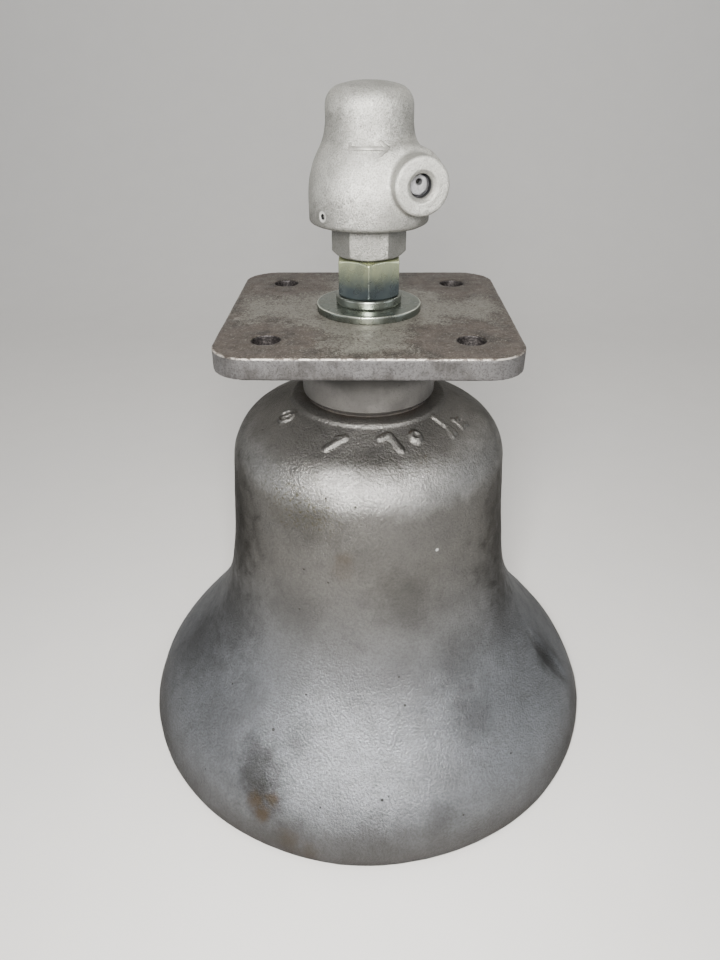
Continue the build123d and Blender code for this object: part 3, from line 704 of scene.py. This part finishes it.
def bell_outline():
    up = (-sin(radians(WAIST_LEAN)), cos(radians(WAIST_LEAN)))
    lip = spline([(150.2, 0), (151.8, 2.4), (152.3, 5.5), (151.4, 10), LIP_TOP],
                 (0.7, 1), LIP_SLOPE, 1.4)
    flare = spline([LIP_TOP, (125.4, 50.0), (106.2, 75.0), (93.6, 100.0), (86.8, 132.0),
                    SHOULDER_FOOT], LIP_SLOPE, up, 2.7)
    outer = shoulder(SHOULDER_FOOT, SHOULDER_R, 0.95)
    crown = join(line(outer[-1], (48.4, 226.6), 0.7),
                 [(47.2, 227.2), (46.2, 227.7), (45.5, 228.4), (45.0, 229.1), (44.3, 229.65),
                  (43.4, 229.9), (42.4, BELL_TOP)],
                 line((42.4, BELL_TOP), (STEM_HOLE_R, BELL_TOP), 5.0))
    bore = line((STEM_HOLE_R, BELL_TOP), (STEM_HOLE_R, CROWN_INSIDE), 6.0)
    foot = (SHOULDER_FOOT[0] - WALL, SHOULDER_FOOT[1] - 2)
    inner_turn = shoulder(foot, SHOULDER_R - WALL, 3.0)[::-1]
    under = join(line((STEM_HOLE_R, CROWN_INSIDE), (40.0, CROWN_INSIDE), 8.0),
                 line((40.0, CROWN_INSIDE), inner_turn[0], 8.0))
    inside = spline([(140.5, 0), (131.2, 23.5), (115.6, 43.0), (96.0, 68.6), (82.6, 95.5),
                     (74.8, 128.0), foot], INSIDE_SLOPE, up, 7.0)[::-1]
    rim = line((140.5, 0), (150.2, 0), 2.4)[:-1]
    return join(lip, flare, outer, crown, bore, under, inner_turn, inside, rim)


CROWN_BARS = [                            # raised casting marks: start, end, half width
    ((-22.4, -55.6), (-12.4, -50.6), 1.5), ((-16.6, -50.4), (-12.0, -50.6), 1.0),
    ((6.2, -51.6), (10.6, -49.2), 1.3), ((11.6, -49.4), (17.4, -57.4), 1.5),
    ((36.6, -30.0), (47.2, -36.6), 1.6), ((46.2, -40.4), (44.2, -36.8), 1.1),
    ((47.6, -26.6), (52.6, -30.2), 1.2),
]
CROWN_RINGS = [((-45.9, -24.6), 4.4), ((52.6, -25.2), 2.6)]   # centre, radius
CROWN_DOMES = [((25.4, -47.6), 4.4)]
DENT_TURN, DENT_DEPTH = 75.4, 1.9
DENT_CENTRE, DENT_SIZE = polar(DENT_TURN, 127.0, 48.0), (8.0, 20.0)


def crown_lift(x, y):
    """How far the casting marks stand up from the crown."""
    lift = np.zeros(len(x))
    for start, end, half in CROWN_BARS:
        lift = np.maximum(lift, 1.1 * np.clip(0.6 - stroke(x, y, start, end, half) / 1.0, 0, 1))
    for (cx, cy), radius in CROWN_RINGS:
        ring = np.abs(np.hypot(x - cx, y - cy) - radius) - 0.6
        lift = np.maximum(lift, 1.4 * np.clip(0.6 - ring / 1.0, 0, 1))
        bar = stroke(x, y, (cx - radius / 2, cy), (cx + radius / 2, cy), 0.5)
        lift = np.maximum(lift, 1.2 * np.clip(0.5 - bar / 1.0, 0, 1))
    for (cx, cy), radius in CROWN_DOMES:
        away = np.hypot(x - cx, y - cy) / radius
        lift += 2.0 * np.clip(1.3 - 1.3 * away ** 2, 0, 1)
        lift -= 1.1 * np.clip(1 - (away / 0.5) ** 2, 0, 1)
    return lift


def build_bell():
    points, normals, faces = lathe(bell_outline(), 448)
    outer = (normals[:, 2] > -0.3) & (points[:, 2] > 0.5)      # not the inside or the rim
    points = roughen(points, normals, [(46, 0.50), (13, 0.16), (6, 0.07)])
    x, y, z = points.T
    crown = (z > 205) & (normals[:, 2] > 0.2) & (np.hypot(x, y) > 46)
    points = points + normals * (crown_lift(x, y) * crown)[:, None]
    across = ((x - DENT_CENTRE[0]) * cos(radians(DENT_TURN))
              + (y - DENT_CENTRE[1]) * sin(radians(DENT_TURN)))
    away = np.hypot(across / DENT_SIZE[0], (z - DENT_CENTRE[2]) / DENT_SIZE[1])
    facing = (normals[:, 0] > 0.3) & outer
    points = points - normals * (DENT_DEPTH * np.clip(1 - away ** 2, 0, 1) * facing)[:, None]
    points[:, 2] = np.maximum(points[:, 2], 0)
    add_mesh("bell_casting", points, faces, FINISHES["bell_paint"], "bell")


build_bell()


# ---- ringer head ----
HEAD_CURVE_LOW, HEAD_CURVE_TURN, CURVE_R1, CURVE_R2 = 339.0, 30.0, 42.0, 28.0
HEAD_TOP_R, HEAD_DOME = 9.5, 14.0
INLET_BOSS_R, INLET_SINK = 13.5, 1.85
INLET_ROOT_R, INLET_ROOT_FACE, INLET_ROOT_TAPER = 17.0, 25.5, 12.0
PASSAGE_AT, PASSAGE_R = (0.5, 1.2), 1.5
VENT_R, VENT_SPOT_R = 0.7, 1.6
ARROW_Z, ARROW_RISE = 362.6, 1.15


def head_outline():
    low, top = heights("housing")
    neck = HEAD_R - (CURVE_R1 + CURVE_R2) * (1 - cos(radians(HEAD_CURVE_TURN)))
    end = HEAD_CURVE_LOW + (CURVE_R1 + CURVE_R2) * sin(radians(HEAD_CURVE_TURN))
    dome = radians(HEAD_DOME)
    dome_r = (neck - HEAD_TOP_R * (1 - sin(dome))) / sin(dome)
    neck_high = top - dome_r * (1 - cos(dome)) - HEAD_TOP_R * cos(dome)
    return join(
        [(0, low)], arc((HEAD_R - 2.2, low + 2.2), 2.2, -90, 0, 6),
        arc((HEAD_R - CURVE_R1, HEAD_CURVE_LOW), CURVE_R1, 0, HEAD_CURVE_TURN, 10),
        arc((neck + CURVE_R2, end), CURVE_R2, 180 + HEAD_CURVE_TURN, 180, 8),
        arc((neck - HEAD_TOP_R, neck_high), HEAD_TOP_R, 0, 90 - HEAD_DOME, 11),
        arc((0, top - dome_r), dome_r, 90 - HEAD_DOME, 90, 6),
    )


def head_field():
    outline = head_outline()
    low = heights("housing")[0]
    side, way = INLET_SIDE, INLET_WAY
    cavity = [(0, 329.5), (24.5, 329.5), (24.5, 348), (17, 370), (17, 380), (11, 384), (0, 384)]
    vent = (sin(radians(VENT_TURN)), -cos(radians(VENT_TURN)))

    def field(x, y, z):
        r = np.hypot(x, y)
        body = polygon(r, z, outline)
        across = x * side[0] + y * side[1] - INLET_OFFSET
        along = x * way[0] + y * way[1]
        rise = z - INLET_Z
        around = np.hypot(across, rise)
        boss = smooth_max(smooth_max(around - INLET_BOSS_R, along - INLET_FACE, 1.8), -along, 1.0)
        taper = (INLET_ROOT_FACE - along) * tan(radians(INLET_ROOT_TAPER))
        root = smooth_max(around - INLET_ROOT_R + taper, along - INLET_ROOT_FACE, 5.0)
        solid = smooth_min(smooth_min(body, np.maximum(root, -along), 7.0), boss, 2.5)
        depth = along - (INLET_FACE - INLET_DEPTH)
        bore = smooth_max(around - INLET_BORE_R, -depth, 0.3)
        sink = around - (INLET_BORE_R + np.maximum(along - (INLET_FACE - INLET_SINK), 0))
        bore = np.minimum(bore, np.maximum(sink, INLET_FACE - INLET_SINK - 0.7 - along))
        groove = np.maximum(np.abs(around - INLET_BORE_R + 0.2) - 0.6, -(depth + 1.8))
        bore = np.minimum(bore, np.maximum(groove, depth - 1.0))
        passage = np.hypot(across - PASSAGE_AT[0], rise - PASSAGE_AT[1]) - PASSAGE_R
        passage = np.maximum(passage, -(depth + 12))
        inner = polygon(r, z, cavity)
        throat = np.maximum(r - 16.0, z - 331)
        recess = np.maximum(r - 19.5, z - (low + 0.8))
        turn_away = x * vent[1] - y * vent[0]
        outward = x * vent[0] + y * vent[1]
        hole = np.hypot(turn_away, z - VENT_Z)
        vent_hole = np.maximum(hole - VENT_R, 20 - outward)
        spot = np.maximum(hole - VENT_SPOT_R, (HEAD_R - 0.35) - outward)
        solid = cut(solid, bore, 0.4)
        for hollow, soft in ((passage, 0.3), (inner, 1.0), (throat, 0.4), (recess, 0.3),
                             (vent_hole, 0.2), (spot, 0.4)):
            solid = cut(solid, hollow, soft)
        return solid

    return field


def sculpt(name, node, field, low, high, cell, layers=(), body="hung_bell", finish=None):
    """A piece made from a distance field, with a little surface relief."""
    points, normals, faces = net(field, low, high, cell)
    points = roughen(points, normals, layers)
    add_mesh(name, points, faces, finish or FINISHES[SLOTS[node]], node, body)


def build_head():
    low, high = heights("housing")
    sculpt("head_casting", "housing", head_field(), (-32, -40, low), (39.5, 32, high), 0.6,
           [(11, 0.16), (3.2, 0.06)])


def build_arrow():
    """A raised arrow towards the inlet, where the casting has its raised word, coloured darker as
    painted shade.
    """
    neck = HEAD_R - (CURVE_R1 + CURVE_R2) * (1 - cos(radians(HEAD_CURVE_TURN)))
    outline = head_outline()
    half, barb_x, barb_z, tail_z, half_width, bury = 9, 5.2, 2.6, 1.6, 0.75, 0.6
    tip = (half, ARROW_Z)
    strokes = [((-half, ARROW_Z), tip),
               (tip, (barb_x, ARROW_Z + barb_z)), (tip, (barb_x, ARROW_Z - barb_z)),
               ((-half, ARROW_Z - tail_z), (-half, ARROW_Z + tail_z))]

    def field(x, y, z):
        skin = polygon(np.hypot(x, y), z, outline)
        shape = np.minimum.reduce([stroke(x, z, start, end, half_width) for start, end in strokes])
        shape = smooth_max(shape, skin - ARROW_RISE, 0.35)
        return smooth_max(shape, np.maximum(-skin - bury, y), 0.2)

    reach = half + 1.5
    points, _, faces = net(field, (-reach, -30, ARROW_Z - 4), (reach, -neck + 4, ARROW_Z + 4), 0.24)
    add_mesh("head_arrow", points, faces, FINISHES["head_mark"], None)


def build_cap():
    """Hexagon base of the head: chamfered below, with its spigot, web and bore above."""
    low, high = heights("hex_cap")
    flats, shoulder_z, socket_top, web_top = 34.0, 325.5, 319.0, 322.0
    spigot_r, thread_r, recess_r, rod_hole_r = 15.98, NUT_BORE_R, 12.05, 4.3

    def field(x, y, z):
        r = np.hypot(x, y)
        block = smooth_max(hexagon(x, y, flats, 0), slab(z, low, shoulder_z), 0.45)
        block = smooth_max(block, (r - (flats / 2 - 0.3) - (z - low) * 1.8) * 0.48, 0.4)
        spigot = smooth_max(r - spigot_r, slab(z, shoulder_z - 2, high), 0.5)
        solid = np.minimum(block, spigot)
        solid = cut(solid, np.maximum(r - thread_r, z - socket_top), 0.5)
        solid = cut(solid, np.maximum(r - recess_r, web_top - z), 0.5)
        return cut(solid, r - rod_hole_r, 0.3)

    sculpt("head_hex_cap", "hex_cap", field, (-20, -18, low), (20, 18, high), 0.5, [(6, 0.05)])


build_head()
build_arrow()
build_cap()


# ---- suspension stack ----
def turned(name, node, outline, segments, layers=(), finish=None):
    """A piece turned about z from a closed outline of (radius, height)."""
    points, normals, faces = lathe(outline, segments)
    points = roughen(points, normals, layers)
    add_mesh(name, points, faces, finish or FINISHES[SLOTS[node]], node)


def build_collar():
    low, high = heights("collar")
    foot_r, side_r, bevel = 35.5, 38.1, 2.6
    outline = rounded([(STEM_HOLE_R, low), (foot_r, low), (side_r, low + bevel), (side_r, high),
                       (STEM_HOLE_R, high)], (0.5, 0.5, 0.4, 0.5, 0.5))
    turned("collar_spacer", "collar", outline, 160)


def build_flat_washer():
    low, high = heights("flat_washer")
    outline = rounded([(STEM_HOLE_R, low), (FLAT_WASHER_R, low), (FLAT_WASHER_R, high),
                       (STEM_HOLE_R, high)], (0.3, 0.45, 0.8, 0.5), 5)
    turned("flat_washer_zinc", "flat_washer", outline, 160, [(9, 0.05)], finish=WASHER_ZINC)


def build_lock_washer():
    """A split ring of nearly square wire, its ends a little sprung apart."""
    low, high = heights("lock_washer")
    outer, gap, slant = 17.8, 1.6, radians(25)

    def field(x, y, z):
        r = np.hypot(x, y)
        ring = smooth_max(np.abs(r - (outer + STEM_HOLE_R) / 2) - (outer - STEM_HOLE_R) / 2,
                          slab(z, low, high), 1.1)
        slit = np.abs(x * cos(slant) - (z - (low + high) / 2) * sin(slant)) - gap / 2
        return cut(ring, np.maximum(slit, -y), 0.4)

    sculpt("lock_washer_zinc", "lock_washer", field, (-18, -18, low), (18, 18, high), 0.42,
           finish=WASHER_ZINC)


def build_hexagon(name, node, flats, bore, turn, centre=(0, 0), cell=0.5, finish=None,
                  body="hung_bell"):
    """A nut with turned-off corners, soft edges and a bore."""
    low, high = heights(node)
    reach = flats / 2 / cos(radians(30))

    def field(x, y, z):
        x, y = x - centre[0], y - centre[1]
        r = np.hypot(x, y)
        solid = smooth_max(hexagon(x, y, flats, turn), slab(z, low, high), 0.5)
        for end in (z - low, high - z):
            solid = smooth_max(solid, (r - (flats / 2 - 0.2) - end * 1.8) * 0.48, 0.4)
        return cut(solid, r - bore, 0.5)

    sculpt(name, node, field, (centre[0] - reach, centre[1] - reach, low),
           (centre[0] + reach, centre[1] + reach, high), cell, (), body, finish)


def build_stem():
    """The hollow stud with its thread cut as a real helix."""
    low, high = heights("stem")
    outer, bore, bush_bore, bush_top, pitch, depth = 11.1, 5.0, 6.52, 204.0, 1.814, 0.95
    outline = join(line((outer, low), (outer, high), 0.36),
                   [(bore, high), (bore, bush_top), (bush_bore, bush_top), (bush_bore, low)])
    points, normals, faces = lathe(outline, 72)
    x, y, z = points.T
    phase = (z / pitch - np.arctan2(y, x) / (2 * pi)) % 1
    ends = np.minimum(z - low, high - z)
    radius = outer - depth * np.clip(1.2 - np.abs(2 * phase - 1) * 1.7, 0, 1)
    radius = np.minimum(radius, outer - 1.0 + ends)
    scale = np.where(np.hypot(x, y) > outer - 0.5, radius / outer, 1)
    points = points * np.stack([scale, scale, np.ones(len(scale))], 1)
    add_mesh("stem_threaded", points, faces, FINISHES["zinc"], "stem")


def build_inner_washer():
    low, high = heights("inner_washer")
    side_r = 22
    outline = rounded([(STEM_HOLE_R, low), (side_r, low), (side_r, high), (STEM_HOLE_R, high)],
                      (0.3, 0.7, 0.4, 0.4), 5)
    turned("inner_washer_zinc", "inner_washer", outline, 128, [(9, 0.05)])


def build_plate():
    low, high = heights("mounting_plate")
    side, corner, edge, hole_r = 152.4, 19.0, 0.7, 7.15

    def field(x, y, z):
        flat = round_corner(np.abs(x) - side / 2, np.abs(y) - side / 2, corner)
        solid = round_corner(flat, slab(z, low, high), edge)
        hole = np.hypot(np.abs(x) - HOLE_SPACING / 2, np.abs(y) - HOLE_SPACING / 2) - hole_r
        return cut(cut(solid, hole, 0.8), np.hypot(x, y) - STEM_HOLE_R, 0.5)

    sculpt("plate_steel", "mounting_plate", field, (-77, -77, low), (77, 77, high), 1.1,
           [(30, 0.12), (6, 0.07), (2.5, 0.06)])


build_collar()
build_plate()
build_flat_washer()
build_lock_washer()
build_hexagon("stem_nut_zinc", "stem_nut", NUT_FLATS, NUT_BORE_R, 30, cell=0.46, finish=NUT_ZINC)
build_stem()
build_inner_washer()
build_hexagon("jam_nut_zinc", "jam_nut", NUT_FLATS, NUT_BORE_R, 0, cell=0.6)


# ---- clapper ----
PIVOT_X, PIVOT_Z, PIN_R, PIN_BUSH_R = 22.0, 178.0, 4.0, 6.0
HUB_R, HUB_HALF_W, NOSE_R, NOSE_NECK_R, ARM_R, THREAD_R = 9.5, 7.6, 5.0, 4.2, 6.0, 5.0
ARM_FOOT_Z, BALL_HOLE_Z = 72.7, 36
BALL_R = 20.0


def tangent(point, centre, radius, way):
    """Angle in degrees where a line from a point touches a circle; way is 1 or -1."""
    dx, dz = point[0] - centre[0], point[1] - centre[1]
    return degrees(atan2(dz, dx) + way * acos(radius / sqrt(dx * dx + dz * dz)))


def build_bracket():
    low, high = 189.0, heights("clapper_bracket")[1]
    base_r, eye_r, half_w, slot = 18.0, 11.5, 14.0, 8.0
    start = tangent((-base_r, low), (PIVOT_X, PIVOT_Z), eye_r, 1)
    end = tangent((base_r, high), (PIVOT_X, PIVOT_Z), eye_r, -1) + 360
    cheek = join([(-base_r, high), (-base_r, low)], arc((PIVOT_X, PIVOT_Z), eye_r, start, end, 24),
                 [(base_r, high)])

    def field(x, y, z):
        r = np.hypot(x, y)
        solid = smooth_max(polygon(x, z, cheek), np.abs(y) - half_w, 1.6)
        base = smooth_max(r - base_r, slab(z, low, high), 1.2)
        solid = smooth_min(solid, base, 1.5)
        solid = cut(solid, smooth_max(np.abs(y) - slot, z - low, 1.5), 1.0)
        solid = cut(solid, np.hypot(x - PIVOT_X, z - PIVOT_Z) - PIN_R, 0.6)
        return cut(solid, r - NUT_BORE_R, 0.6)

    sculpt("bracket_forged", "clapper_bracket", field, (-19, -19, PIVOT_Z - eye_r), (34, 19, high),
           0.75, [(7, 0.12), (2.5, 0.05)])


def build_arm():
    low, high = heights("clapper_arm")

    def field(x, y, z):
        eye = np.hypot(x - PIVOT_X, z - PIVOT_Z)
        hub = smooth_max(eye - HUB_R, np.abs(y) - HUB_HALF_W, 1.0)
        nose = stroke(x, z, (0, PIVOT_Z), (PIVOT_X, PIVOT_Z - 1.4), 0.0)
        nose = nose - np.where(x < 3, NOSE_R, NOSE_NECK_R)
        nose = smooth_max(nose, np.abs(y) - HUB_HALF_W, 1.0)
        shaft = np.hypot(x - PIVOT_X, y)
        rod = smooth_max(shaft - ARM_R, slab(z, ARM_FOOT_Z, PIVOT_Z - 4), 0.8)
        thread = smooth_max(shaft - THREAD_R, slab(z, low, 76), 0.6)
        solid = smooth_min(smooth_min(hub, nose, 1.5), smooth_min(rod, thread, 0.3), 3.0)
        return cut(solid, eye - PIN_BUSH_R, 0.5)

    sculpt("clapper_arm_forged", "clapper_arm", field, (-6, -8, low), (32, 8, high), 0.75,
           [(7, 0.10), (2.5, 0.04)], "clapper")


def build_ball():
    """Cast ball with a faint parting ridge and a spot-faced top for its nut."""
    low, high = heights("clapper_ball")
    middle = low + BALL_R

    def field(x, y, z):
        x = x - PIVOT_X
        ball = np.sqrt(x * x + y * y + (z - middle) ** 2) - BALL_R
        ball = ball + 0.35 - 0.35 * np.exp(-(y / 0.8) ** 2)
        solid = smooth_max(ball, z - high, 0.8)
        return cut(solid, np.maximum(np.hypot(x, y) - THREAD_R, BALL_HOLE_Z - z), 0.5)

    sculpt("clapper_ball_cast", "clapper_ball", field, (PIVOT_X - BALL_R, -BALL_R, low),
           (PIVOT_X + BALL_R, BALL_R, high), 0.8, [(8, 0.22), (2.6, 0.08)], "clapper")


build_bracket()
build_arm()
build_ball()
build_hexagon("ball_nut_zinc", "ball_nut", 17.0, 5.02, 0, (PIVOT_X, 0), 0.5, body="clapper")


# ---- stage, light and camera ----
def add_floor():
    """A pale sheet a hair below the bell's mouth that sweeps up well behind it."""
    half, flat_to, bend, top, low = 3.0, 0.75, 0.6, 2.6, -0.0003
    turn = np.linspace(0, pi / 2, 16)
    rows = [(-half, low), (0.0, low)]
    rows += [(flat_to + bend * sin(t), low + bend * (1 - cos(t))) for t in turn]
    rows += [(flat_to + bend, top)]
    points = [(x, y, z) for y, z in rows for x in (-half, half)]
    faces = [(2 * i, 2 * i + 1, 2 * i + 3, 2 * i + 2) for i in range(len(rows) - 1)]
    mesh = bpy.data.meshes.new("floor")
    mesh.from_pydata(points, [], faces)
    mesh.polygons.foreach_set("use_smooth", [True] * len(mesh.polygons))
    floor = bpy.data.objects.new("floor", mesh)
    bpy.context.scene.collection.objects.link(floor)
    m = Finish("floor_paper")
    tone = m.mix(m.noise(40, 4.0), (0.80, 0.785, 0.76), (0.84, 0.825, 0.80))
    mesh.materials.append(m.done(tone, 0.9, m.bump(m.noise(1.5, 3.0), 0.1, 0.3)))


def add_area(name, location, target, size, power, colour=(1, 1, 1)):
    data = bpy.data.lights.new(name, "AREA")
    data.shape = "RECTANGLE"
    data.size, data.size_y = size
    data.energy = power
    data.color = colour
    lamp = bpy.data.objects.new(name, data)
    lamp.location = location
    lamp.rotation_euler = (Vector(target) - Vector(location)).to_track_quat("-Z", "Y").to_euler()
    bpy.context.scene.collection.objects.link(lamp)


def add_lights():
    middle = (0, 0, 0.15)
    cool, warm = (0.90, 0.95, 1.0), (1.0, 0.96, 0.90)
    add_area("key", (-0.02, -0.42, 0.475), middle, (0.13, 0.13), 7.6, (1.0, 0.98, 0.95))
    add_area("front", (0.3, -2.3, 0.90), middle, (2.4, 0.6), 7.0, cool)
    add_area("left", (-2.1, -0.8, 0.55), middle, (1.2, 0.6), 8.5, cool)
    add_area("right", (2.1, -0.7, 0.50), middle, (1.2, 0.6), 9.0, cool)
    add_area("back_left", (-0.85, 0.60, 1.15), middle, (0.4, 0.4), 2.2, warm)
    add_area("back_right", (0.85, 0.60, 1.15), middle, (0.4, 0.4), 3.0, warm)
    add_area("backdrop", (0, 0.1, 1.9), (0, 0.9, 0.3), (1.6, 0.5), 7.0)
    world = bpy.data.worlds.new("studio")
    world.use_nodes = True
    backdrop = world.node_tree.nodes["Background"]
    backdrop.inputs["Color"].default_value = (0.86, 0.86, 0.88, 1)
    backdrop.inputs["Strength"].default_value = 0.11
    bpy.context.scene.world = world


def add_camera():
    """In front of the bell and a little above it, looking down."""
    pitch, yaw, roll = radians(30.949), radians(-0.759), radians(-0.175)
    forward = Vector((sin(yaw) * cos(pitch), cos(yaw) * cos(pitch), -sin(pitch)))
    right = Vector((cos(yaw), -sin(yaw), 0))
    up = right.cross(forward)
    right, up = right * cos(roll) + up * sin(roll), up * cos(roll) - right * sin(roll)
    data = bpy.data.cameras.new("camera")
    data.sensor_width, data.lens = 36.0, 26.625
    data.clip_start, data.clip_end = 0.02, 20
    camera = bpy.data.objects.new("camera", data)
    turn = Matrix((right, up, -forward)).transposed().to_4x4()
    camera.matrix_world = Matrix.Translation((0, -0.386548, 0.400171)) @ turn
    bpy.context.scene.collection.objects.link(camera)
    bpy.context.scene.camera = camera


add_floor()
add_lights()
add_camera()
